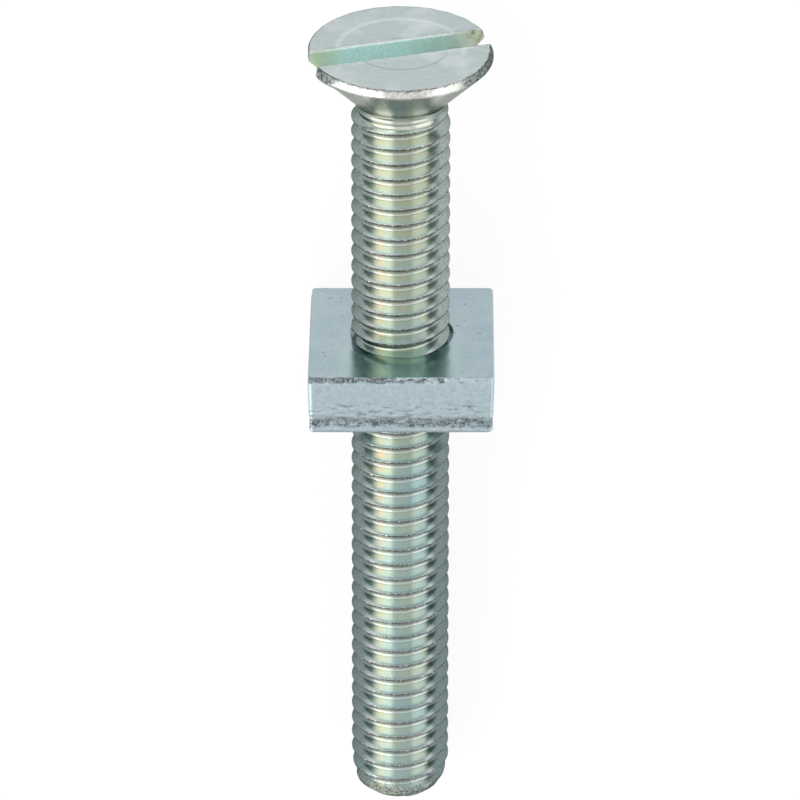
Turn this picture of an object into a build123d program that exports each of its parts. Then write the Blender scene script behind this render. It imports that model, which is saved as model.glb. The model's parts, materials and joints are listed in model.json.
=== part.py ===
from build123d import *
from math import atan2, cos, degrees, radians, sin, tan
import os

# Gutter bolt: a slotted countersunk bolt, M6 x 1 and 50 long, with a pressed square nut on its thread.
# The fine thread itself isn't cut here: the shank is the plain cylinder that its crests fill, and the
# nut's bore is the one that those crests run in.
#
# The bolt lies as it comes to rest on a flat surface. The nut weighs the head end too little to hold
# it down, so the bolt is propped on two places: the nut's lower edge, on the side away from the head,
# and the thread where the tip starts to taper. The head end stands clear of the surface.
# X runs along the bolt from head to tip, Y across it, and Z = 0 is the surface it lies on. The origin
# is under the middle of its length.

# Bolt. Places along it are measured from the flat of the head, as its length is.
bolt_length = 50.0
thread_pitch = 1.0
thread_dia = 5.82          # over the rolled crests, just under the nominal 6
neck_dia = 5.35            # the blank before rolling, left bare under the head
neck_length = 0.4
head_dia = 10.84
rim_height = 0.55          # straight edge of the head, above the countersink
countersink_angle = 90.0
rim_radius = 0.08
throat_radius = 0.6        # sweep from the countersink into the neck

# Screwdriver slot, sawn right across the head
slot_width = 1.85
slot_depth = 1.5
slot_turn = 16.2           # turned from the nut's flats, as the bolt happens to lie

# Tip: the thread dies away along a slight taper, and a short nose leads it into the nut
taper_length = 2.0
taper_dia = 5.2
nose_length = 0.6
nose_dia = 3.8

# Square nut, blanked from bar: its sheared sides lean in towards the face away from the head
nut_place = 18.92          # from the flat of the head to the nut's clamping face
nut_width = 11.06          # across the flats where they stand out most
nut_thickness = 3.78
nut_corner_radius = 0.4
shoulder_depth = 0.4       # from the clamping face to where the sides stand out most
shoulder_taper = 5.0
side_taper = 1.5
edge_break = 0.12
bore_clearance = 0.05      # round the thread's crests
mouth_dia = 6.16           # lead-in at both ends of the bore, cut at 45 degrees

# Sections that follow from the sizes above
thread_radius = thread_dia / 2
neck_radius = neck_dia / 2
head_radius = head_dia / 2
cone_height = (head_radius - neck_radius) / tan(radians(countersink_angle / 2))
cone_end = rim_height + cone_height
neck_end = cone_end + neck_length
runout_end = neck_end + thread_pitch      # the first turn of thread grows out of the neck
taper_start = bolt_length - taper_length
nose_start = bolt_length - nose_length
bore_radius = thread_radius + bore_clearance
shoulder_place = nut_place + shoulder_depth
nut_end = nut_place + nut_thickness

# How it rests: the line that touches the nut's far lower edge and the start of the tip's taper
prop_place = nut_end - edge_break
prop_radius = nut_width / 2 - (prop_place - shoulder_place) * tan(radians(side_taper))
rest_tilt = degrees(atan2(prop_radius - thread_radius, taper_start - prop_place))
tilt_sin = sin(radians(rest_tilt))
tilt_cos = cos(radians(rest_tilt))
head_face_radius = head_radius - rim_radius
head_x = -(bolt_length * tilt_cos + (nose_dia / 2 - head_face_radius) * tilt_sin) / 2
head_z = taper_start * tilt_sin + thread_radius * tilt_cos

# The head's flat, looking from head to tip: across is Y, and up is square to the bolt
head_plane = Plane(
    origin=(head_x, 0, head_z), x_dir=(0, 1, 0), z_dir=(tilt_cos, 0, -tilt_sin)
)
bolt_axis = Axis(head_plane.origin, head_plane.z_dir)
section_plane = Plane(head_plane.origin, x_dir=head_plane.y_dir, z_dir=head_plane.x_dir)

# ---------------------------------------------------------------------------------------------
# Bolt: turned from its half section, then slotted
# ---------------------------------------------------------------------------------------------
with BuildPart() as bolt:
    with BuildSketch(section_plane) as half_section:
        with BuildLine():
            Polyline(
                (0, 0),
                (head_radius, 0),
                (head_radius, rim_height),
                (neck_radius, cone_end),
                (neck_radius, neck_end),
                (thread_radius, runout_end),
                (thread_radius, taper_start),
                (taper_dia / 2, nose_start),
                (nose_dia / 2, bolt_length),
                (0, bolt_length),
                close=True,
            )
        make_face()
        fillet(half_section.vertices().group_by(Axis.X)[-1], radius=rim_radius)
        throat = half_section.vertices().sort_by_distance((neck_radius, cone_end))[0]
        fillet(throat, radius=throat_radius)
    revolve(axis=bolt_axis)

    with BuildSketch(head_plane.rotated((0, 0, -slot_turn))):
        Rectangle(2 * head_dia, slot_width)
    extrude(amount=slot_depth, mode=Mode.SUBTRACT)

bolt.part.label = "bolt"

# ---------------------------------------------------------------------------------------------
# Square nut
# ---------------------------------------------------------------------------------------------
with BuildPart() as square_nut:
    with BuildSketch(head_plane.offset(shoulder_place)) as blank:
        RectangleRounded(nut_width, nut_width, nut_corner_radius)
    extrude(amount=nut_end - shoulder_place, taper=side_taper)
    extrude(blank.sketch, amount=-shoulder_depth, taper=shoulder_taper)
    far_face = square_nut.faces().sort_by(bolt_axis)[-1]
    chamfer(far_face.edges(), length=edge_break)

    with BuildSketch(head_plane.offset(nut_place)):
        Circle(bore_radius)
    extrude(amount=nut_thickness, mode=Mode.SUBTRACT)
    bore = square_nut.faces().filter_by(GeomType.CYLINDER)[0]
    chamfer(bore.edges().filter_by(GeomType.CIRCLE), length=mouth_dia / 2 - bore_radius)

square_nut.part.label = "square_nut"

os.makedirs("parts", exist_ok=True)
export_step(bolt.part, "parts/bolt.step")
export_step(square_nut.part, "parts/square_nut.step")
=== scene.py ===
import json
import math

import bmesh
import bpy
from mathutils import Matrix, Vector, noise


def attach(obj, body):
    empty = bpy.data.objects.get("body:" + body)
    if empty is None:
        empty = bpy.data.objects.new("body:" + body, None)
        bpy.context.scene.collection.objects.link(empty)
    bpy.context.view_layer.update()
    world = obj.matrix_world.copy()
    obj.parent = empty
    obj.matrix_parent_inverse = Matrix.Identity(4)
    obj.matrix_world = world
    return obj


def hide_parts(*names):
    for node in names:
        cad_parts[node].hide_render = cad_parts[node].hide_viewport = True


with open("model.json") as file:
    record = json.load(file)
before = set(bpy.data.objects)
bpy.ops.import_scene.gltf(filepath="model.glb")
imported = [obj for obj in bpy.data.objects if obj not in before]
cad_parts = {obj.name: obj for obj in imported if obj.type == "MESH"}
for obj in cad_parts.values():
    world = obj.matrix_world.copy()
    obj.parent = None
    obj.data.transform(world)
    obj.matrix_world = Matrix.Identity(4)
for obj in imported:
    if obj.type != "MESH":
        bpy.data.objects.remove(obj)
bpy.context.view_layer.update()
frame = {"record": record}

# -----------------------------------------------------------------------------------------------
# Bolt: steel wire, cold headed and rolled, its slot sawn afterwards, then zinc plated with a faint
# green and straw passivation. The rolled crests keep a rough lap where the metal met in the dies.
# -----------------------------------------------------------------------------------------------
# Sizes are in millimetres, in the bolt's own directions: across, lift (up, square to the bolt) and
# along, which runs from the flat of the head to the tip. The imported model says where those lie.
MM = 0.001
bolt_end = 50.0
pitch = 1.0
crest_radius = 2.908
root_radius = 2.37
first_crest = 4.405        # along, where the crest crosses the side at -90 degrees
neck_radius = 2.675        # the wire before its thread was rolled
neck_start = 3.56
runout_start, runout_end = 3.55, 4.3
taper_start, taper_radius = 48.0, 2.6
nose_start, nose_radius = 49.4, 1.9
slot_depth = 1.5
slot_turn = 16.2           # degrees between the slot and the nut's flats
around = 120               # points in each ring
weld_gap = 0.002           # points closer than this are one

mounts = {mount["name"]: mount for mount in frame["record"]["mounts"]}
along = Vector(mounts["thread"]["axis"]).normalized()
across = Vector((0.0, 1.0, 0.0))
lift = along.cross(across)
head_centre = Vector(mounts["driver_slot"]["pos_m"]) - along * slot_depth * MM
bolt_axes = Matrix((across, lift, along)).transposed().to_4x4()
bolt_place = Matrix.Translation(head_centre) @ bolt_axes @ Matrix.Scale(MM, 4)


def wire(tree, kind, *values, **settings):
    """A node of this kind with its settings, and its first inputs linked or set to these values."""
    node = tree.nodes.new(kind)
    for name, value in settings.items():
        setattr(node, name, value)
    for socket, value in zip(node.inputs, values):
        if isinstance(value, bpy.types.NodeSocket):
            tree.links.new(value, socket)
        elif value is not None:
            socket.default_value = value
    return node


def calc(tree, operation, *values):
    return wire(tree, "ShaderNodeMath", *values, operation=operation).outputs[0]


def product(tree, result, *factors):
    """The first value times each of the others in turn."""
    for factor in factors:
        result = calc(tree, "MULTIPLY", result, factor)
    return result


def ramp_between(tree, value, low, high, at_low=0.0, at_high=1.0, kind="LINEAR"):
    """at_low where value is low or less, at_high where it is high or more."""
    node = wire(tree, "ShaderNodeMapRange", value, low, high, at_low, at_high, interpolation_type=kind)
    return node.outputs[0]


def band(tree, value, middle, near, far, inside=1.0, outside=0.0, kind="LINEAR"):
    """inside where value is within near of middle, outside where it is further off than far."""
    away = calc(tree, "ABSOLUTE", calc(tree, "SUBTRACT", value, middle))
    return ramp_between(tree, away, near, far, inside, outside, kind)


# The helical surface that bolt and nut share. Its rows follow the helix, so each crest is one clean
# line. Rows past either end gather on the end ring, and the bolt's close over its end face.
thread_tree = bpy.data.node_groups.new("thread_surface", "GeometryNodeTree")
thread_tree.interface.new_socket("Geometry", in_out="OUTPUT", socket_type="NodeSocketGeometry")
thread_sizes = (
    ("Start", 0.0), ("End", 10.0), ("Turns", 12.0), ("First Crest", 0.0), ("Crest Radius", 3.0),
    ("Root Radius", 2.4), ("Blank Radius", 2.7), ("Run-out Start", -2.0), ("Run-out End", -1.0),
    ("Taper Start", 900.0), ("Taper Radius", 3.0), ("Nose Start", 901.0), ("Nose Radius", 2.0),
    ("Mouth Radius", 0.0), ("Lap Depth", 0.0), ("Wobble", 0.0), ("Close End", 0.0), ("Seed", 0.0),
)
thread_input = {}
for label, value in thread_sizes:
    socket = thread_tree.interface.new_socket(label, in_out="INPUT", socket_type="NodeSocketFloat")
    socket.default_value = value
    thread_input[label] = socket.identifier
socket = thread_tree.interface.new_socket("Segments", in_out="INPUT", socket_type="NodeSocketInt")
socket.default_value = around
thread_input["Segments"] = socket.identifier
socket = thread_tree.interface.new_socket("Finish", in_out="INPUT", socket_type="NodeSocketMaterial")
thread_input["Finish"] = socket.identifier

# rows of each half turn, in pitches from the crest: close together where the section bends
row_places = (0.0, 0.05, 0.085, 0.115, 0.30, 0.345, 0.40, 0.5)
row_gaps = len(row_places) - 1
crest_half = 0.05          # half of the crest's flat, in pitches
flank_slope = pitch * math.tan(math.radians(60))
root_round = 0.10

t = thread_tree
size = t.nodes.new("NodeGroupInput").outputs
columns = calc(t, "ADD", size["Segments"], 1)
lines = calc(t, "MULTIPLY_ADD", size["Turns"], 2 * row_gaps, 1)
grid = wire(t, "GeometryNodeMeshGrid", 1.0, 1.0, columns, lines)
cell = wire(t, "ShaderNodeSeparateXYZ", t.nodes.new("GeometryNodeInputPosition").outputs[0])
# turn is 0 on the side that faces up, and grows towards across
turn = calc(t, "ADD", cell.outputs["X"], (90.0 + slot_turn) / 360.0 - 0.5)
row = calc(t, "MULTIPLY", calc(t, "ADD", cell.outputs["Y"], 0.5), size["Turns"])
spacing = wire(t, "ShaderNodeFloatCurve", 1.0)
bends = spacing.mapping.curves[0].points
for k in range(1, row_gaps):
    bends.new(k / row_gaps, 2 * row_places[k])
for bend in bends:
    bend.handle_type = "VECTOR"
spacing.mapping.update()
nearest = calc(t, "ROUND", row)
aside = calc(t, "SUBTRACT", row, nearest)
t.links.new(product(t, calc(t, "ABSOLUTE", aside), 2.0), spacing.inputs["Value"])
row = calc(t, "ADD", nearest, product(t, calc(t, "SIGN", aside), spacing.outputs[0], 0.5))
helix = calc(t, "SUBTRACT", row, calc(t, "ADD", turn, 0.25))
free_place = calc(t, "MULTIPLY_ADD", helix, pitch, size["First Crest"])
place = calc(t, "MINIMUM", calc(t, "MAXIMUM", free_place, size["Start"]), size["End"])
angle = calc(t, "MULTIPLY", turn, 2 * math.pi)
sine = calc(t, "SINE", angle)
cosine = calc(t, "COSINE", angle)

# 60 degree section: off is the distance from the nearest crest, in pitches, and beyond is the same
# but below zero on the head's side of it
phase = calc(t, "DIVIDE", calc(t, "SUBTRACT", place, size["First Crest"]), pitch)
phase = calc(t, "ADD", calc(t, "ADD", phase, turn), 0.25)
beyond = calc(t, "SUBTRACT", calc(t, "FRACT", calc(t, "ADD", phase, 0.5)), 0.5)
off = calc(t, "ABSOLUTE", beyond)
flank = calc(t, "MULTIPLY", calc(t, "SUBTRACT", off, crest_half), flank_slope)
section = calc(t, "SUBTRACT", size["Crest Radius"], flank)
section = calc(t, "MINIMUM", section, size["Crest Radius"])
section = calc(t, "SMOOTH_MAX", section, size["Root Radius"], root_round)

# the crests waver a little, and the lap along their far edge is a fine broken groove
spot_x = calc(t, "MULTIPLY", sine, 3.0)
spot_y = calc(t, "MULTIPLY", cosine, 3.0)
spot = wire(t, "ShaderNodeCombineXYZ", spot_x, spot_y, place).outputs[0]
slow = wire(t, "ShaderNodeTexNoise", spot, size["Seed"], 1.1, 2.0, noise_dimensions="4D").outputs[0]
fine = wire(t, "ShaderNodeTexNoise", spot, size["Seed"], 4.2, 3.0, noise_dimensions="4D").outputs[0]
near_crest = ramp_between(t, off, 0.0, 0.3, 1.0, 0.0)
waver = product(t, calc(t, "SUBTRACT", slow, 0.5), size["Wobble"], near_crest)
section = calc(t, "ADD", section, waver)
in_lap = band(t, beyond, crest_half, 0.0, 0.05)
groove = product(t, in_lap, ramp_between(t, fine, 0.38, 0.66), size["Lap Depth"])
section = calc(t, "SUBTRACT", section, groove)

# it grows out of the plain blank, and runs out under the taper and the nose of the tip
grown = ramp_between(t, place, size["Run-out Start"], size["Run-out End"], kind="SMOOTHSTEP")
radius = calc(t, "MULTIPLY", calc(t, "SUBTRACT", section, size["Blank Radius"]), grown)
radius = calc(t, "ADD", radius, size["Blank Radius"])
taper = ramp_between(
    t, place, size["Taper Start"], size["Nose Start"], size["Crest Radius"], size["Taper Radius"]
)
nose = calc(t, "SUBTRACT", size["Taper Radius"], size["Nose Radius"])
nose = calc(t, "MULTIPLY", nose, ramp_between(t, place, size["Nose Start"], size["End"]))
radius = calc(t, "MINIMUM", radius, calc(t, "SUBTRACT", taper, nose))
mouth_near = calc(t, "SUBTRACT", size["Mouth Radius"], calc(t, "SUBTRACT", place, size["Start"]))
mouth_far = calc(t, "SUBTRACT", size["Mouth Radius"], calc(t, "SUBTRACT", size["End"], place))
radius = calc(t, "MAXIMUM", calc(t, "MAXIMUM", radius, mouth_near), mouth_far)

# end face: the rows left over draw in to its middle. It is slightly dished, as sheared wire is: it
# slopes in from its edge, and its middle is flat.
past = calc(t, "DIVIDE", calc(t, "SUBTRACT", free_place, size["End"]), 0.5 * pitch)
past = calc(t, "MULTIPLY", calc(t, "MINIMUM", calc(t, "MAXIMUM", past, 0.0), 1.0), size["Close End"])
radius = calc(t, "MULTIPLY", radius, calc(t, "SUBTRACT", 1.0, past))
dish_rim, dish_slope = 0.45, 0.22
dish = product(t, calc(t, "SMOOTH_MIN", past, dish_rim, 0.1), dish_slope)
point_x = calc(t, "MULTIPLY", radius, sine)
point_y = calc(t, "MULTIPLY", radius, cosine)
point = wire(t, "ShaderNodeCombineXYZ", point_x, point_y, calc(t, "SUBTRACT", place, dish)).outputs[0]

# for the finish: rise is 0 in a root and 1 on a crest, and lap marks the lap, widened over the crest's flat
# as painted shade, and more faintly painted shade in the head's half of each root
rise = ramp_between(t, radius, size["Root Radius"], size["Crest Radius"])
from_root = calc(t, "SUBTRACT", calc(t, "FRACT", phase), 0.5)
root_half_shade = product(
    t, ramp_between(t, from_root, -0.2, -0.12), ramp_between(t, from_root, 0.0, 0.05, 1.0, 0.0)
)
# the lap band covers the crest's flat too, darkening it as painted shade
lap = product(t, band(t, beyond, 0.015, 0.045, 0.07), rise)
lap = calc(t, "MULTIPLY", calc(t, "MAXIMUM", lap, calc(t, "MULTIPLY", root_half_shade, 0.62)), grown)
surface = grid.outputs[0]
for mark, amount in (("lap", lap), ("rise", rise)):
    stored = wire(t, "GeometryNodeStoreNamedAttribute", surface, domain="POINT", data_type="FLOAT")
    stored.inputs["Name"].default_value = mark
    t.links.new(amount, stored.inputs["Value"])
    surface = stored.outputs[0]
shaped = wire(t, "GeometryNodeSetPosition", surface)
t.links.new(point, shaped.inputs["Position"])
welded = wire(t, "GeometryNodeMergeByDistance", shaped.outputs[0])
welded.inputs["Distance"].default_value = weld_gap
smooth = wire(t, "GeometryNodeSetShadeSmooth", welded.outputs[0])
real = wire(t, "GeometryNodeRealizeInstances", smooth.outputs[0])
finished = wire(t, "GeometryNodeSetMaterial", real.outputs[0])
t.links.new(size["Finish"], finished.inputs["Material"])
t.links.new(finished.outputs[0], t.nodes.new("NodeGroupOutput").inputs[0])


def thread_mesh(name, finish, sizes):
    """The thread surface with these sizes, as a plain mesh in millimetres."""
    holder = bpy.data.objects.new(name, bpy.data.meshes.new(name))
    bpy.context.scene.collection.objects.link(holder)
    modifier = holder.modifiers.new("thread", "NODES")
    modifier.node_group = thread_tree
    modifier[thread_input["Segments"]] = around
    modifier[thread_input["Finish"]] = finish
    for label, value in sizes.items():
        modifier[thread_input[label]] = value
    bpy.context.view_layer.update()
    ready = holder.evaluated_get(bpy.context.evaluated_depsgraph_get())
    mesh = bpy.data.meshes.new_from_object(ready)
    bpy.data.objects.remove(holder)
    return mesh


def new_finish(name):
    """A material, its tree, its shader, and the place in millimetres: along, across and lift."""
    finish = bpy.data.materials.new(name)
    finish.use_nodes = True
    tree = finish.node_tree
    shader = tree.nodes["Principled BSDF"]
    shader.inputs["Metallic"].default_value = 1.0
    where = wire(tree, "ShaderNodeMapping", tree.nodes.new("ShaderNodeTexCoord").outputs["Object"])
    where.inputs["Location"].default_value = -(Matrix((along, across, lift)) @ head_centre) / MM
    where.inputs["Rotation"].default_value = (0.0, math.asin(along.z), 0.0)
    where.inputs["Scale"].default_value = (1 / MM, 1 / MM, 1 / MM)
    return finish, tree, shader, where.outputs[0]


def marked(tree, name):
    """How strongly the mesh is marked with this name, from 0 to 1."""
    return wire(tree, "ShaderNodeAttribute", attribute_name=name).outputs["Fac"]


def mottle(tree, spot, scale, detail):
    """Soft noise about 0.5, finer at a larger scale."""
    return wire(tree, "ShaderNodeTexNoise", spot, None, scale, detail).outputs[0]


def blend_colour(tree, amount, first, second):
    """first where amount is 0, second where it is 1; either is a colour or a socket."""
    node = tree.nodes.new("ShaderNodeMix")
    node.data_type = "RGBA"
    for socket, value in ((node.inputs[0], amount), (node.inputs[6], first), (node.inputs[7], second)):
        if isinstance(value, bpy.types.NodeSocket):
            tree.links.new(value, socket)
        else:
            socket.default_value = value
    return node.outputs[2]


bolt_zinc, m, skin, spot_mm = new_finish("bolt_zinc")
lap_and_shade_here = marked(m, "lap")
rise_here = marked(m, "rise")
sawn_here = marked(m, "sawn")
struck_here = marked(m, "struck")
edge_here = marked(m, "rough_edge")
clouds = mottle(m, spot_mm, 0.45, 3.0)
blotches = mottle(m, spot_mm, 1.3, 2.0)
grain = mottle(m, spot_mm, 6.0, 4.0)
speck = mottle(m, spot_mm, 9.0, 3.0)
from_flat, across_mm, lift_mm = wire(m, "ShaderNodeSeparateXYZ", spot_mm).outputs
# degrees round the bolt from straight up: right, towards across, is above 0, and left is below
sideways = calc(m, "DEGREES", calc(m, "ARCTAN2", across_mm, lift_mm))
# 1 on top and down both sides, and 0 underneath, where the two sides' tints meet
not_below = band(m, sideways, 0.0, 126.0, 166.2)

# On top the thread is green, yellower near the head and bluer on its crests, and its roots are darkened with
# painted shade.
sea_green = (0.55, 0.655, 0.645, 1)
leaf_green = (0.61, 0.67, 0.59, 1)
straw = (0.61, 0.62, 0.49, 1)
olive = (0.59, 0.61, 0.48, 1)
rust = (0.78, 0.63, 0.47, 1)
crest_blue = (0.56, 0.68, 0.70, 1)
root_painted_shade = (0.27, 0.31, 0.29, 1)
green = blend_colour(m, ramp_between(m, clouds, 0.38, 0.62), sea_green, leaf_green)
green = blend_colour(m, ramp_between(m, from_flat, 8.0, 30.0, 0.6, 0.0), green, straw)
in_olive = ramp_between(m, sideways, -32.0, -8.0, 0.6, 0.0)
in_olive = product(m, in_olive, ramp_between(m, sideways, -42.0, -30.0, 0.3, 1.0))
green = blend_colour(m, in_olive, green, olive)
# a rusty stain runs along the left, strongest about the nut
stain_side = band(m, sideways, -33.0, 2.0, 14.0, kind="SMOOTHSTEP")
stain_near = band(m, from_flat, 22.0, 3.0, 14.0, 0.9, 0.3)
stain = product(m, stain_side, stain_near, ramp_between(m, blotches, 0.35, 0.6))
green = blend_colour(m, stain, green, rust)
green = blend_colour(m, ramp_between(m, rise_here, 0.5, 0.9, 0.0, 0.6), green, crest_blue)
# the bottoms of the roots are darkened with painted shade
green = blend_colour(m, ramp_between(m, rise_here, 0.0, 0.22, 0.3, 0.0), green, root_painted_shade)

# Round its sides the thread is painted a darker grey as painted shade: darker towards the tip, and with a
# painted highlight on the right near the head.
grey = (0.31, 0.375, 0.35, 1)
dark_grey = (0.21, 0.275, 0.27, 1)
bright_grey = (0.39, 0.455, 0.42, 1)
grain_grey = (0.10, 0.13, 0.14, 1)
to_tip = ramp_between(m, from_flat, 4.0, 36.0)
side_shade = blend_colour(m, to_tip, grey, dark_grey)
near_head = ramp_between(m, to_tip, 0.4, 0.6, 1.0, 0.0)
painted_light_side = product(m, ramp_between(m, sideways, 50.4, 61.9), near_head, not_below)
side_shade = blend_colour(m, painted_light_side, side_shade, bright_grey)
side_shade = blend_colour(m, ramp_between(m, grain, 0.35, 0.58, 0.35, 0.0), side_shade, grain_grey)
on_left = ramp_between(m, sideways, -56.0, -31.0, 1.0, 0.0, "SMOOTHSTEP")
on_right = ramp_between(m, sideways, 37.0, 49.0, kind="SMOOTHSTEP")
off_top = calc(m, "ADD", on_left, on_right)
# the sides take the painted shade and the top keeps the green
tint = blend_colour(m, off_top, green, side_shade)

# Under the head it is plain zinc, a little rosy on the left and duller on the right, darkened down the
# middle of the cone with painted shade and with painted highlight streaks either side. The rim is greyer on
# top, and scraped dark on both sides, partly as painted shade.
plain_zinc = (0.84, 0.89, 0.82, 1)
rosy_zinc = (0.89, 0.77, 0.71, 1)
dull_zinc = (0.58, 0.58, 0.55, 1)
zinc_grain = (0.42, 0.47, 0.42, 1)
zinc_shade = (0.42, 0.51, 0.52, 1)
painted_streak_white = (1.0, 1.0, 0.96, 1)
rim_top_grey = (0.62, 0.62, 0.60, 1)
rim_top_pale = (0.74, 0.74, 0.72, 1)
scraped_and_shade_dark = (0.10, 0.12, 0.12, 1)
scraped_and_shade_bright = (0.34, 0.39, 0.37, 1)
rosy_side = product(m, ramp_between(m, sideways, -75.0, -30.0, 0.3, 0.0), not_below)
dull_side = product(m, ramp_between(m, sideways, 38.0, 60.0), not_below)
plain = blend_colour(m, rosy_side, plain_zinc, rosy_zinc)
plain = blend_colour(m, dull_side, plain, dull_zinc)
plain = blend_colour(m, ramp_between(m, grain, 0.42, 0.60, 0.35, 0.0), plain, zinc_grain)
# painted shade down the middle of the cone, and painted highlight streaks either side of it
shade = band(m, sideways, -1.0, 5.0, 12.0, 0.7, kind="SMOOTHSTEP")
plain = blend_colour(m, shade, plain, zinc_shade)
left_painted_streak = band(m, sideways, -17.0, 4.0, 9.0, kind="SMOOTHSTEP")
right_painted_streak = band(m, sideways, 20.0, 5.0, 11.0, 0.9)
plain = blend_colour(m, calc(m, "ADD", left_painted_streak, right_painted_streak), plain, painted_streak_white)
# the rim is greyer on top
rim_tint = blend_colour(m, ramp_between(m, grain, 0.40, 0.60), rim_top_grey, rim_top_pale)
on_rim = ramp_between(m, from_flat, 0.6, 0.8, 1.0, 0.0)
plain = blend_colour(m, product(m, band(m, sideways, 2.0, 19.0, 25.0), on_rim), plain, rim_tint)
tint = blend_colour(m, ramp_between(m, from_flat, 2.9, 3.3), plain, tint)
# the rim's sides are scraped, and darkened as painted shade on the same sides as the thread's
scraped_and_shade = product(m, ramp_between(m, from_flat, 0.5, 0.8, 1.0, 0.0), off_top)
scraped_and_shade_tint = blend_colour(m, ramp_between(m, grain, 0.4, 0.6), scraped_and_shade_dark, scraped_and_shade_bright)
tint = blend_colour(m, scraped_and_shade, tint, scraped_and_shade_tint)

# The nose is pitted. The laps are dark, partly rough lap and partly painted shade over the crests' flats and
# in the roots, and carry painted glints.
pit_dark = (0.13, 0.15, 0.14, 1)
lap_and_shade_brown = (0.10, 0.09, 0.08, 1)
painted_glint_white = (0.95, 0.95, 0.92, 1)
pits_here = ramp_between(m, grain, 0.40, 0.52, 0.85, 0.0)
tint = blend_colour(m, product(m, ramp_between(m, from_flat, 48.4, 49.3), pits_here), tint, pit_dark)
lap_and_shade_dark = product(m, lap_and_shade_here, ramp_between(m, speck, 0.38, 0.62, 1.0, 0.5))
tint = blend_colour(m, lap_and_shade_dark, tint, lap_and_shade_brown)
# painted glints, white base colour along the laps
painted_glint = product(m, ramp_between(m, lap_and_shade_here, 0.7, 0.9), ramp_between(m, speck, 0.57, 0.64))
tint = blend_colour(m, painted_glint, tint, painted_glint_white)

# The head's flat is brushed, with the faint rings that the heading die left.
dark_ring_radius, bright_ring_radius = 2.72, 3.68
brushed = (0.485, 0.565, 0.57, 1)
brushed_pale = (0.55, 0.625, 0.625, 1)
brushed_bright = (0.95, 1.0, 1.0, 1)
ring_dark = (0.36, 0.43, 0.43, 1)
burr_highlight_white = (1.0, 1.0, 1.0, 1)
in_plane = wire(m, "ShaderNodeVectorMath", spot_mm, (0.0, 1.0, 1.0), operation="MULTIPLY").outputs[0]
from_middle = wire(m, "ShaderNodeVectorMath", in_plane, operation="LENGTH").outputs["Value"]
upper_half = ramp_between(m, lift_mm, 0.2, 1.5)
dark_ring = product(m, band(m, from_middle, dark_ring_radius, 0.03, 0.12, 0.6), upper_half)
bright_ring = band(m, from_middle, bright_ring_radius, 0.05, 0.25, 0.3)
bright_ring = product(m, bright_ring, calc(m, "SUBTRACT", 1.0, upper_half))
brushing = wire(m, "ShaderNodeMapping", spot_mm)
brushing.inputs["Rotation"].default_value = (0.35, 0.0, 0.0)
brushing.inputs["Scale"].default_value = (1.0, 0.7, 7.0)
strokes = ramp_between(m, mottle(m, brushing.outputs[0], 1.6, 4.0), 0.35, 0.65, 0.0, 0.2)
struck = blend_colour(m, ramp_between(m, grain, 0.35, 0.65), brushed, brushed_pale)
struck = blend_colour(m, strokes, struck, brushed_bright)
struck = blend_colour(m, ramp_between(m, clouds, 0.5, 0.7, 0.0, 0.3), struck, brushed_bright)
struck = blend_colour(m, dark_ring, struck, ring_dark)
struck = blend_colour(m, bright_ring, struck, brushed_bright)
# the saw threw up a burr along the lower edge of its slot, painted white as a highlight
middle, bolt_axis = (0.0, 0.0, 0.0), (1.0, 0.0, 0.0)
turned = wire(m, "ShaderNodeVectorRotate", spot_mm, middle, bolt_axis, math.radians(slot_turn))
turned = wire(m, "ShaderNodeSeparateXYZ", turned.outputs[0]).outputs
along_slot = turned["Y"]
from_slot = product(m, turned["Z"], -1.0)
burr_highlight = product(
    m,
    ramp_between(m, from_slot, 1.04, 1.12, 1.0, 0.0),
    ramp_between(m, from_slot, 0.0, 0.5),
    ramp_between(m, speck, 0.42, 0.56),
)
struck = blend_colour(m, burr_highlight, struck, burr_highlight_white)
tint = blend_colour(m, struck_here, tint, struck)

# The slot is a deeper green, straw at one end and burnt at the other.
sawn_green = (0.84, 1.0, 0.99, 1)
sawn_far_green = (0.77, 0.91, 0.87, 1)
end_straw = (0.67, 0.76, 0.58, 1)
end_olive = (0.45, 0.48, 0.36, 1)
sawn_grain = (0.45, 0.62, 0.55, 1)
burnt_brown = (0.28, 0.24, 0.13, 1)
edge_black = (0.10, 0.10, 0.09, 1)
slot_end = ramp_between(m, from_middle, 3.2, 4.9)
far_half = ramp_between(m, along_slot, 0.3, 2.5)
sawn = blend_colour(m, far_half, sawn_green, sawn_far_green)
sawn_end = blend_colour(m, far_half, end_straw, end_olive)
sawn = blend_colour(m, slot_end, sawn, sawn_end)
sawn = blend_colour(m, ramp_between(m, grain, 0.35, 0.65, 0.35, 0.0), sawn, sawn_grain)
burn_spots = ramp_between(m, mottle(m, spot_mm, 2.2, 4.0), 0.50, 0.60, 0.0, 0.8)
burnt = product(m, ramp_between(m, slot_end, 0.6, 0.9), burn_spots, far_half)
sawn = blend_colour(m, burnt, sawn, burnt_brown)
tint = blend_colour(m, sawn_here, tint, sawn)
# and the edge of the flat is rough and dark, less so on the right
edge_dark = ramp_between(m, sideways, 11.5, 45.8, 0.4, 0.1)
edge_dark = calc(m, "ADD", ramp_between(m, speck, 0.42, 0.60, 0.0, 0.5), edge_dark)
tint = blend_colour(m, product(m, edge_here, edge_dark), tint, edge_black)

gloss = ramp_between(m, grain, 0.3, 0.7, 0.17, 0.26)
for here, duller in ((lap_and_shade_here, 0.2), (struck_here, 0.12), (sawn_here, 0.3), (edge_here, 0.15)):
    gloss = calc(m, "MULTIPLY_ADD", here, duller, gloss)
m.links.new(tint, skin.inputs["Base Color"])
m.links.new(gloss, skin.inputs["Roughness"])
skin.inputs["Specular Tint"].default_value = (0.35, 0.37, 0.35, 1)

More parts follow.
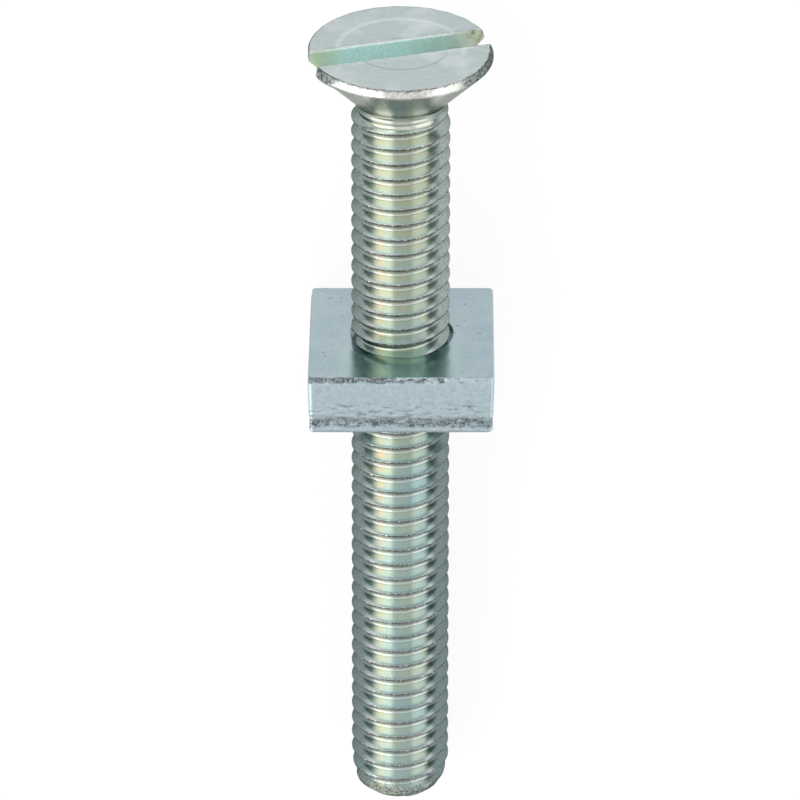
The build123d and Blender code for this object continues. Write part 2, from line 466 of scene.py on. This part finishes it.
# two turns lie before the first crest, and the last rows are to spare for the end face
shank = thread_mesh(
    "shank",
    bolt_zinc,
    {
        "Start": neck_start, "End": bolt_end, "Turns": 49.0, "First Crest": first_crest - 2 * pitch,
        "Crest Radius": crest_radius, "Root Radius": root_radius, "Blank Radius": neck_radius,
        "Run-out Start": runout_start, "Run-out End": runout_end, "Taper Start": taper_start,
        "Taper Radius": taper_radius, "Nose Start": nose_start, "Nose Radius": nose_radius,
        "Lap Depth": 0.05, "Wobble": 0.03, "Close End": 1.0, "Seed": 3.0,
    },
)

# Head: rings from the flat down to the neck, open where the saw went through. Each station of the
# outline is a place along the bolt and the radius there.
rim_radius = 5.415
rim_height = 0.55
rim_round = 0.24
cone_angle = math.radians(45)
throat_round = 0.6
cone_foot = rim_height + rim_radius - neck_radius
rounding = math.tan(cone_angle / 2)


def cone_station(place):
    return place, rim_radius - (place - rim_height)


def bend_station(place, radius, bend, lean):
    """A station on the arc between a cylinder and the cone, which would meet at this place. bend is
    its radius, below zero where it is hollow, and lean is the angle it has turned through."""
    return place - bend * rounding + bend * math.sin(lean), radius - bend * (1 - math.cos(lean))


# in turn: the worn edge of the flat, the rim, its rounding, the cone, and the throat's rounding
outline = [(0.0, rim_radius - 0.085), (0.015, rim_radius - 0.04), (0.045, rim_radius - 0.01)]
outline += [(0.09, rim_radius), (0.2, rim_radius), (0.32, rim_radius)]
outline += [bend_station(rim_height, rim_radius, rim_round, cone_angle * k / 5) for k in range(6)]
outline += [cone_station(place) for place in (0.8, 1.0, 1.2, 1.36, 1.44, 1.48, slot_depth)]
slot_floor = len(outline) - 1
outline += [cone_station(place) for place in (1.6, 1.8, 2.0, 2.25, 2.5, 2.75, 2.95)]
outline += [bend_station(cone_foot, neck_radius, -throat_round, cone_angle * (1 - k / 6)) for k in range(6)]
outline.append((neck_start, neck_radius))

# the slot flares a little at its mouth, and draws in to the rounded corners of its floor
half_slot = 0.925
mouth_flare = 0.045
mouth_depth = 0.05
floor_corner = 0.07
floor_height = 0.14
horn_steps = 52            # steps of a ring on one side of the slot
end_steps = (around - 2 * horn_steps) // 2


def slot_half(place):
    """Half of the slot's width at this place along the bolt."""
    flare = mouth_flare * max(0.0, 1 - place / mouth_depth) ** 2
    corner = floor_corner * max(0.0, (place - slot_depth + floor_height) / floor_height) ** 2
    return half_slot + flare - corner


def horn(station):
    """Angles of the ring's points on one side of the slot, from one end of the slot to the other."""
    place, radius = outline[station]
    first = math.asin(slot_half(place) / radius)
    return [first + (math.pi - 2 * first) * k / horn_steps for k in range(horn_steps + 1)]


# wear and a knock: how far they move the rim, and where the knock is, round the head and along
rim_wear = 0.17
wear_height = 0.4
knock_spread = 0.2
knock_turn, knock_width = 57, 11
knock_place, knock_height = 0.68, 0.28


def head_point(run, aside, place):
    """A point from its place along the slot, square to it, and along the bolt. The rim is worn
    rounder on one side, and a knock has spread it on the other."""
    a = math.radians(slot_turn)
    x = run * math.cos(a) + aside * math.sin(a)
    y = -run * math.sin(a) + aside * math.cos(a)
    worn = rim_wear * max(0.0, x / rim_radius) ** 4 * max(0.0, 1 - place / wear_height)
    round_there = math.degrees(math.atan2(-x, y))
    off_knock = ((round_there - knock_turn) / knock_width) ** 2 + ((place - knock_place) / knock_height) ** 2
    spread = knock_spread * math.exp(-off_knock)
    reach = max(1e-6, math.hypot(x, y))
    return Vector((x - worn + x / reach * spread, y + y / reach * spread, place))


def lay(mesh, rows, marks=()):
    """Faces between rows of points; marks name what the finish looks for there."""
    laid = [[mesh.verts.new(p) for p in points] for points in rows]
    for points in laid:
        for v in points:
            for mark in marks:
                v[marked_layers[mark]] = 1.0
    for one, two in zip(laid, laid[1:]):
        for k in range(len(one) - 1):
            mesh.faces.new((one[k], one[k + 1], two[k + 1], two[k]))


def outward(p):
    return Vector((p.x, p.y, 0.0)).normalized()


chip_depth = 0.05
chipped_height = 0.5


def chip(p, k):
    """How far the rim is chipped at this point, the k-th from the slot."""
    from_slot = min(1.0, min(k, horn_steps - k) / 4)
    return chip_depth * from_slot * max(0.0, 0.3 + noise.fractal(p * 1.6, 0.9, 2.0, 3))


def lip(p, k, height):
    """How high the saw threw up the edge of the slot at this point."""
    from_end = min(1.0, min(k, horn_steps - k) / 2)
    return height * from_end * max(0.0, 0.6 + noise.fractal(p * 2.2, 0.9, 2.0, 3))


bolt_mesh = bmesh.new()
bolt_mesh.from_mesh(shank)
marked_layers = {
    mark: bolt_mesh.verts.layers.float.new(mark) for mark in ("sawn", "struck", "rough_edge")
}

# rows of the flat, as shares of the way from the slot to the rim, and the height of the lip there
lip_heights = {0.0: 0.02, 0.012: 0.04, 0.028: 0.02}
flat_shares = (*lip_heights, 0.045, 0.12, 0.25, 0.40, 0.55, 0.70, 0.84, 0.94, 0.985, 1.0)
for side in (1, -1):
    rim = outline[0][1]
    near = slot_half(0.0)
    rows = []
    for share in flat_shares:
        row = []
        for k, b in enumerate(horn(0)):
            far = rim * math.sin(b)
            p = head_point(rim * math.cos(b) * side, (near + (far - near) * share) * side, 0.0)
            if share in lip_heights:
                p.z -= lip(p, k, lip_heights[share])
            if share == 1.0:
                p -= outward(p) * chip(p, k)
            row.append(p)
        rows.append(row)
    lay(bolt_mesh, rows, ["struck"])
    rows = rows[-1:]
    for place, radius in outline[1 : slot_floor + 1]:
        row = []
        for k, b in enumerate(horn(len(rows))):
            p = head_point(radius * math.cos(b) * side, radius * math.sin(b) * side, place)
            row.append(p - outward(p) * chip(p, k) * max(0.0, 1 - place / chipped_height))
        rows.append(row)
    lay(bolt_mesh, rows[:4], ["rough_edge"])
    lay(bolt_mesh, rows[3:])
    rows = []
    for station in range(slot_floor + 1):
        place, radius = outline[station]
        row = []
        for k, b in enumerate(horn(station)):
            p = head_point(radius * math.cos(b) * side, slot_half(place) * side, place)
            if station == 0:
                p.z -= lip(p, k, lip_heights[0.0])
            row.append(p)
        rows.append(row)
    lay(bolt_mesh, rows, ["sawn"])

# the slot's floor
floor_radius = outline[slot_floor][1]
floor_half = slot_half(slot_depth)
edge_angle = math.asin(floor_half / floor_radius)
rows = []
for step in range(end_steps + 1):
    aside = floor_radius * math.sin(edge_angle * (2 * step / end_steps - 1))
    reach = math.sqrt(floor_radius**2 - aside**2) / math.cos(edge_angle)
    rows.append([head_point(reach * math.cos(b), aside, slot_depth) for b in horn(slot_floor)])
lay(bolt_mesh, rows, ["sawn"])

# whole rings below it, spaced evenly as the shank's are, and begun beside the slot's edge
upper = horn(slot_floor)
ends = [edge_angle * (2 * step / end_steps - 1) for step in range(1, end_steps)]
angles = upper + [math.pi + b for b in ends] + [math.pi + b for b in upper] + ends
angles.append(angles[0])
rows = [[head_point(floor_radius * math.cos(b), floor_radius * math.sin(b), slot_depth) for b in angles]]
even = [math.radians(360.0 * (k + end_steps // 2) / around) for k in range(around + 1)]
for place, radius in outline[slot_floor + 1 :]:
    rows.append([head_point(radius * math.cos(b), radius * math.sin(b), place) for b in even])
lay(bolt_mesh, rows)


def close_up(mesh):
    """Weld the parts of a mesh where they meet, and face them outwards."""
    bmesh.ops.remove_doubles(mesh, verts=mesh.verts, dist=weld_gap)
    bmesh.ops.recalc_face_normals(mesh, faces=mesh.faces)


def piece_from(mesh, name, finish):
    """The finished mesh as an object, moved to its place beside the CAD solids."""
    mesh.transform(bolt_place)
    data = bpy.data.meshes.new(name)
    mesh.to_mesh(data)
    mesh.free()
    data.materials.clear()
    data.materials.append(finish)
    data.polygons.foreach_set("use_smooth", [True] * len(data.polygons))
    data.set_sharp_from_angle(angle=math.radians(40))
    piece = bpy.data.objects.new(name, data)
    bpy.context.scene.collection.objects.link(piece)
    return piece


close_up(bolt_mesh)
bolt_piece = piece_from(bolt_mesh, "slotted_bolt", bolt_zinc)
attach(bolt_piece, "bolt")
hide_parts("bolt")

# -----------------------------------------------------------------------------------------------
# Square nut: blanked from flat bar and tapped, a little out of square. The punch left a clean sheared
# face with a torn band beyond it, and the plating is bluer than the bolt's. It hangs on the thread.
# -----------------------------------------------------------------------------------------------
nut_place = 18.92          # along, where its clamping face lies
nut_thickness = 3.78
nut_half = 5.5             # half of its width, for working out how far a side leans in
nut_crest_radius, nut_root_radius = 3.01, 2.53
nut_mouth = 3.06
nut_slack = 0.08           # the nut hangs this far to one side on the thread
widest = 0.4               # depth below the clamping face where the sides stand out furthest
near_taper = math.tan(math.radians(5.0))
far_taper = math.tan(math.radians(1.5))
corner_round = 0.3
per_side = 120             # points along each side and round the corner after it
corner_steps = 12          # those of them that go round the corner

nut_zinc, m, skin, spot_mm = new_finish("nut_zinc")
torn_here = marked(m, "torn")
sheared_here = marked(m, "sheared")
clouds = mottle(m, spot_mm, 0.5, 3.0)
grain = mottle(m, spot_mm, 5.0, 4.0)
speck = mottle(m, spot_mm, 7.0, 3.0)
pinholes = ramp_between(m, mottle(m, spot_mm, 3.2, 1.0), 0.24, 0.30, 0.6, 0.0)
blue_zinc = (0.335, 0.44, 0.49, 1)
pale_blue_zinc = (0.39, 0.485, 0.52, 1)
bright_blue_zinc = (0.50, 0.60, 0.64, 1)
pinhole_dark = (0.16, 0.20, 0.22, 1)
painted_reflection_teal = (0.44, 0.63, 0.60, 1)
sheared_zinc = (0.42, 0.52, 0.57, 1)
sheared_bright = (0.51, 0.61, 0.65, 1)
torn_steel = (0.11, 0.125, 0.13, 1)
tint = blend_colour(m, ramp_between(m, clouds, 0.35, 0.65), blue_zinc, pale_blue_zinc)
tint = blend_colour(m, ramp_between(m, grain, 0.40, 0.62, 0.0, 0.25), tint, bright_blue_zinc)
tint = blend_colour(m, pinholes, tint, pinhole_dark)
# a painted teal reflection of the bolt, on the faces on the upper side of the bore
across_mm, lift_mm = wire(m, "ShaderNodeSeparateXYZ", spot_mm).outputs[1:]
painted_bolt_reflection = product(m, band(m, across_mm, 0.0, 2.3, 3.9), ramp_between(m, lift_mm, 0.8, 3.0, 0.0, 0.85))
tint = blend_colour(m, painted_bolt_reflection, tint, painted_reflection_teal)
sheared = blend_colour(m, ramp_between(m, grain, 0.35, 0.65), sheared_zinc, sheared_bright)
tint = blend_colour(m, sheared_here, tint, sheared)
torn_dark = product(m, torn_here, ramp_between(m, speck, 0.42, 0.58, 1.0, 0.45))
tint = blend_colour(m, torn_dark, tint, torn_steel)
gloss = ramp_between(m, grain, 0.3, 0.7, 0.17, 0.26)
for here, duller in ((sheared_here, 0.12), (torn_here, 0.25)):
    gloss = calc(m, "MULTIPLY_ADD", here, duller, gloss)
m.links.new(tint, skin.inputs["Base Color"])
m.links.new(gloss, skin.inputs["Roughness"])

bore = thread_mesh(
    "bore",
    nut_zinc,
    {
        "Start": nut_place, "End": nut_place + nut_thickness, "Turns": 7.0,
        "First Crest": first_crest + 13 * pitch, "Crest Radius": nut_crest_radius,
        "Root Radius": nut_root_radius, "Mouth Radius": nut_mouth, "Seed": 5.0,
    },
)

# corners of the blank where it is widest, across and lift, and the way each of its sides faces
corners = (
    Vector((-5.46, 5.53, 0.0)),
    Vector((5.53, 5.51, 0.0)),
    Vector((5.53, -5.53, 0.0)),
    Vector((-5.33, -5.51, 0.0)),
)
facing = (Vector((0, 1, 0)), Vector((1, 0, 0)), Vector((0, -1, 0)), Vector((-1, 0, 0)))


def square_ring(inset):
    """Points round the blank and the way its side faces there, from its first corner."""
    shrink = 1 - inset / nut_half
    points = []
    for k in range(4):
        start = corners[k] * shrink
        corner = corners[(k + 1) % 4] * shrink
        beyond = corners[(k + 2) % 4] * shrink
        way = (corner - start).normalized()
        next_way = (beyond - corner).normalized()
        straight = (corner - start).length - 2 * corner_round
        straight_steps = per_side - corner_steps
        for step in range(straight_steps):
            reach = corner_round + straight * step / straight_steps
            points.append((start + way * reach, facing[k]))
        for step in range(corner_steps):
            u = step / corner_steps
            bend = corner + (next_way * u**2 - way * (1 - u) ** 2) * corner_round
            points.append((bend, (facing[k] * (1 - u) + facing[(k + 1) % 4] * u).normalized()))
    return points


def side_inset(depth):
    """How far a side leans in at a depth from the clamping face."""
    if depth < widest:
        return (widest - depth) * near_taper
    return (depth - widest) * far_taper


# depth from the clamping face, and how far the edge is rounded in there
edge_rows = [(0.0, 0.04), (0.015, 0.018), (0.04, 0.005), (0.08, 0.0)]
edge_rows += [(0.125 + 0.072 * k, 0.0) for k in range(49)]
edge_rows += [(3.64, 0.01), (3.69, 0.03), (3.73, 0.06), (3.76, 0.095), (nut_thickness, 0.14)]

nut_mesh = bmesh.new()
nut_mesh.from_mesh(bore)
bmesh.ops.translate(nut_mesh, verts=nut_mesh.verts, vec=(nut_slack, 0.0, 0.0))
torn_layer = nut_mesh.verts.layers.float.new("torn")
sheared_layer = nut_mesh.verts.layers.float.new("sheared")

# what the punch left, each as the depth of its middle and half its height
pits = (0.19, 0.17)
drawn_lines = (2.35, 0.55)
torn_band = (3.10, 0.33)
tear_depth = 0.085


def within(depth, middle, half):
    """1 in the middle of a band of the side, and 0 well outside it."""
    return math.exp(-(((depth - middle) / half) ** 4))


def side_damage(point, depth):
    """How far a point of a sheared side is torn away, and how torn it looks."""
    x, y = point.x, point.y
    coarse = noise.fractal(Vector((x * 1.1, y * 1.1, depth * 2.0)), 0.9, 2.0, 4)
    fine_tear = noise.fractal(Vector((x * 3.0, y * 3.0, depth * 6.0 + 7.0)), 0.9, 2.0, 3)
    drift = 0.12 * noise.noise(Vector((x * 0.9, y * 0.9, 3.0)))
    tear = max(0.0, 0.74 + 0.8 * fine_tear + 0.2 * coarse) * within(depth - drift, *torn_band)
    pit = max(0.0, fine_tear + 0.7 * coarse + 0.62 - 0.16 * x) * within(depth, *pits)
    line = noise.noise(Vector((x * 1.1, y * 1.1, depth * 8.5 + 1.5 * coarse)))
    line = max(0.0, line - 0.08) * within(depth, *drawn_lines)
    ripple = 0.003 * noise.noise(Vector((x * 0.7, y * 0.7, depth * 6.0)))
    amount = min(1.0, tear + 1.5 * pit + 1.3 * line)
    return tear_depth * amount + 0.003 + ripple, min(1.0, amount * 1.15)


rings = []
for depth, inset in edge_rows:
    at_face = depth in (0.0, nut_thickness)
    ring = []
    for p, outwards in square_ring(side_inset(depth) + inset):
        away, torn = (0.0, 0.0) if at_face else side_damage(p, depth)
        v = nut_mesh.verts.new(Vector((p.x, p.y, nut_place + depth)) - outwards * away)
        v[torn_layer] = torn
        v[sheared_layer] = 0.0 if at_face else 1.0
        ring.append(v)
    rings.append(ring)
count = len(rings[0])
for one, two in zip(rings, rings[1:]):
    for k in range(count):
        nut_mesh.faces.new((one[k], one[(k + 1) % count], two[(k + 1) % count], two[k]))

# the two faces: from the square edge to the round mouth of the bore
share = count // around
for ring, depth, inset in ((rings[0], 0.0, 0.1), (rings[-1], nut_thickness, 0.22)):
    inner = []
    for p, outwards in square_ring(side_inset(depth) + inset):
        inner.append(nut_mesh.verts.new(Vector((p.x, p.y, nut_place + depth))))
    for k in range(count):
        nut_mesh.faces.new((ring[k], ring[(k + 1) % count], inner[(k + 1) % count], inner[k]))
    rows = []
    for radius in (4.2, 3.5, 3.2, nut_mouth):
        circle = []
        for k in range(around + 1):
            a = math.radians(90.0 + slot_turn - 360.0 * k / around)
            spot = (nut_slack + radius * math.sin(a), radius * math.cos(a), nut_place + depth)
            circle.append(nut_mesh.verts.new(spot))
        rows.append(circle)
    for one, two in zip(rows, rows[1:]):
        for k in range(around):
            nut_mesh.faces.new((one[k], one[k + 1], two[k + 1], two[k]))
    # each step of the first circle takes the edge points that lie beside it
    start = min(range(count), key=lambda k: (inner[k].co - rows[0][0].co).length)
    ahead = (inner[(start + 1) % count].co - rows[0][1].co).length
    behind = (inner[start - 1].co - rows[0][1].co).length
    step = -1 if ahead > behind else 1
    for k in range(around):
        beside = [inner[(start + step * (k * share + j)) % count] for j in range(share + 1)]
        nut_mesh.faces.new([rows[0][k + 1], rows[0][k]] + beside)

close_up(nut_mesh)
nut_piece = piece_from(nut_mesh, "pressed_nut", nut_zinc)
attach(nut_piece, "nut")
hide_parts("square_nut")

# -----------------------------------------------------------------------------------------------
# Studio: a white table under two long soft boxes and a wide one overhead, in a dim room.
# -----------------------------------------------------------------------------------------------
table_mesh = bpy.data.meshes.new("table")
table_mesh.from_pydata([(-3, -3, 0), (3, -3, 0), (3, 3, 0), (-3, 3, 0)], [], [(0, 1, 2, 3)])
table_top = bpy.data.objects.new("table", table_mesh)
bpy.context.scene.collection.objects.link(table_top)
table_white = bpy.data.materials.new("table_white")
table_white.use_nodes = True
m = table_white.node_tree
m.nodes.clear()
# seen directly or mirrored it is mostly an even white, so its shadows stay faint
table_glow, glow_share = 1.03, 0.85
board = wire(m, "ShaderNodeBsdfDiffuse", (0.9, 0.9, 0.9, 1)).outputs[0]
glow = wire(m, "ShaderNodeEmission", (1.0, 1.0, 1.0, 1), table_glow).outputs[0]
seen = m.nodes.new("ShaderNodeLightPath").outputs
seen_white = calc(m, "MAXIMUM", seen["Is Camera Ray"], seen["Is Glossy Ray"])
seen_white = calc(m, "MAXIMUM", seen_white, seen["Is Transmission Ray"])
mixed = wire(m, "ShaderNodeMixShader", product(m, seen_white, glow_share), board, glow)
m.links.new(mixed.outputs[0], m.nodes.new("ShaderNodeOutputMaterial").inputs[0])
table_mesh.materials.append(table_white)

room = bpy.data.worlds.new("room")
bpy.context.scene.world = room
room.use_nodes = True
m = room.node_tree
height = wire(m, "ShaderNodeSeparateXYZ", m.nodes.new("ShaderNodeTexCoord").outputs["Generated"])
# dimmer at the table's height than overhead
level = ramp_between(m, height.outputs["Z"], 0.0, 0.9, 0.42, 0.75)
m.links.new(level, m.nodes["Background"].inputs["Color"])
m.nodes["Background"].inputs["Strength"].default_value = 1.0

lamp_reach = 0.9           # metres from the origin to each lamp


def soft_box(name, sweep, lean, height, length, brightness):
    """An area lamp that faces the bolt. sweep is its angle over the bolt, from across at 0 to overhead
    at 90; lean is how far it stands towards the tip. height and length are the angles it fills."""
    data = bpy.data.lights.new(name, "AREA")
    data.shape = "RECTANGLE"
    data.size = 2 * lamp_reach * math.tan(math.radians(length / 2))
    data.size_y = 2 * lamp_reach * math.tan(math.radians(height / 2))
    data.energy = brightness * math.pi * data.size * data.size_y
    a = math.radians(sweep)
    b = math.radians(lean)
    toward = along * math.sin(b) + (across * math.cos(a) + lift * math.sin(a)) * math.cos(b)
    x_axis = (along - toward * along.dot(toward)).normalized()
    y_axis = toward.cross(x_axis)
    lamp = bpy.data.objects.new(name, data)
    bpy.context.scene.collection.objects.link(lamp)
    lamp_axes = Matrix((x_axis, y_axis, toward)).transposed().to_4x4()
    lamp.matrix_world = Matrix.Translation(toward * lamp_reach) @ lamp_axes


soft_box("left_box", sweep=143.5, lean=3, height=59, length=86, brightness=1.58)
soft_box("right_box", sweep=34.5, lean=3, height=48, length=86, brightness=0.85)
soft_box("top_box", sweep=88, lean=-12, height=44, length=104, brightness=0.22)

# Camera: above the table on the head's side, looking down the bolt towards its nut. Its distance is
# in millimetres, and its angles are in radians.
distance = 590.161
elevation = 0.5138262
roll = 0.00119713
target = bolt_place @ Vector((-0.026, 0.0, 23.5073))
back = lift * math.cos(elevation) - along * math.sin(elevation)
up = -lift * math.sin(elevation) - along * math.cos(elevation)
right_turned = across * math.cos(roll) + up * math.sin(roll)
up_turned = up * math.cos(roll) - across * math.sin(roll)
camera_axes = Matrix((right_turned, up_turned, back)).transposed().to_4x4()
camera = bpy.data.objects.new("camera", bpy.data.cameras.new("camera"))
bpy.context.scene.collection.objects.link(camera)
camera.matrix_world = Matrix.Translation(target + back * distance * MM) @ camera_axes
camera.data.sensor_width = 36.0
camera.data.lens = 447.56
camera.data.clip_start = 0.05
camera.data.clip_end = 20.0
bpy.context.scene.camera = camera
bpy.context.scene.view_settings.view_transform = "Standard"
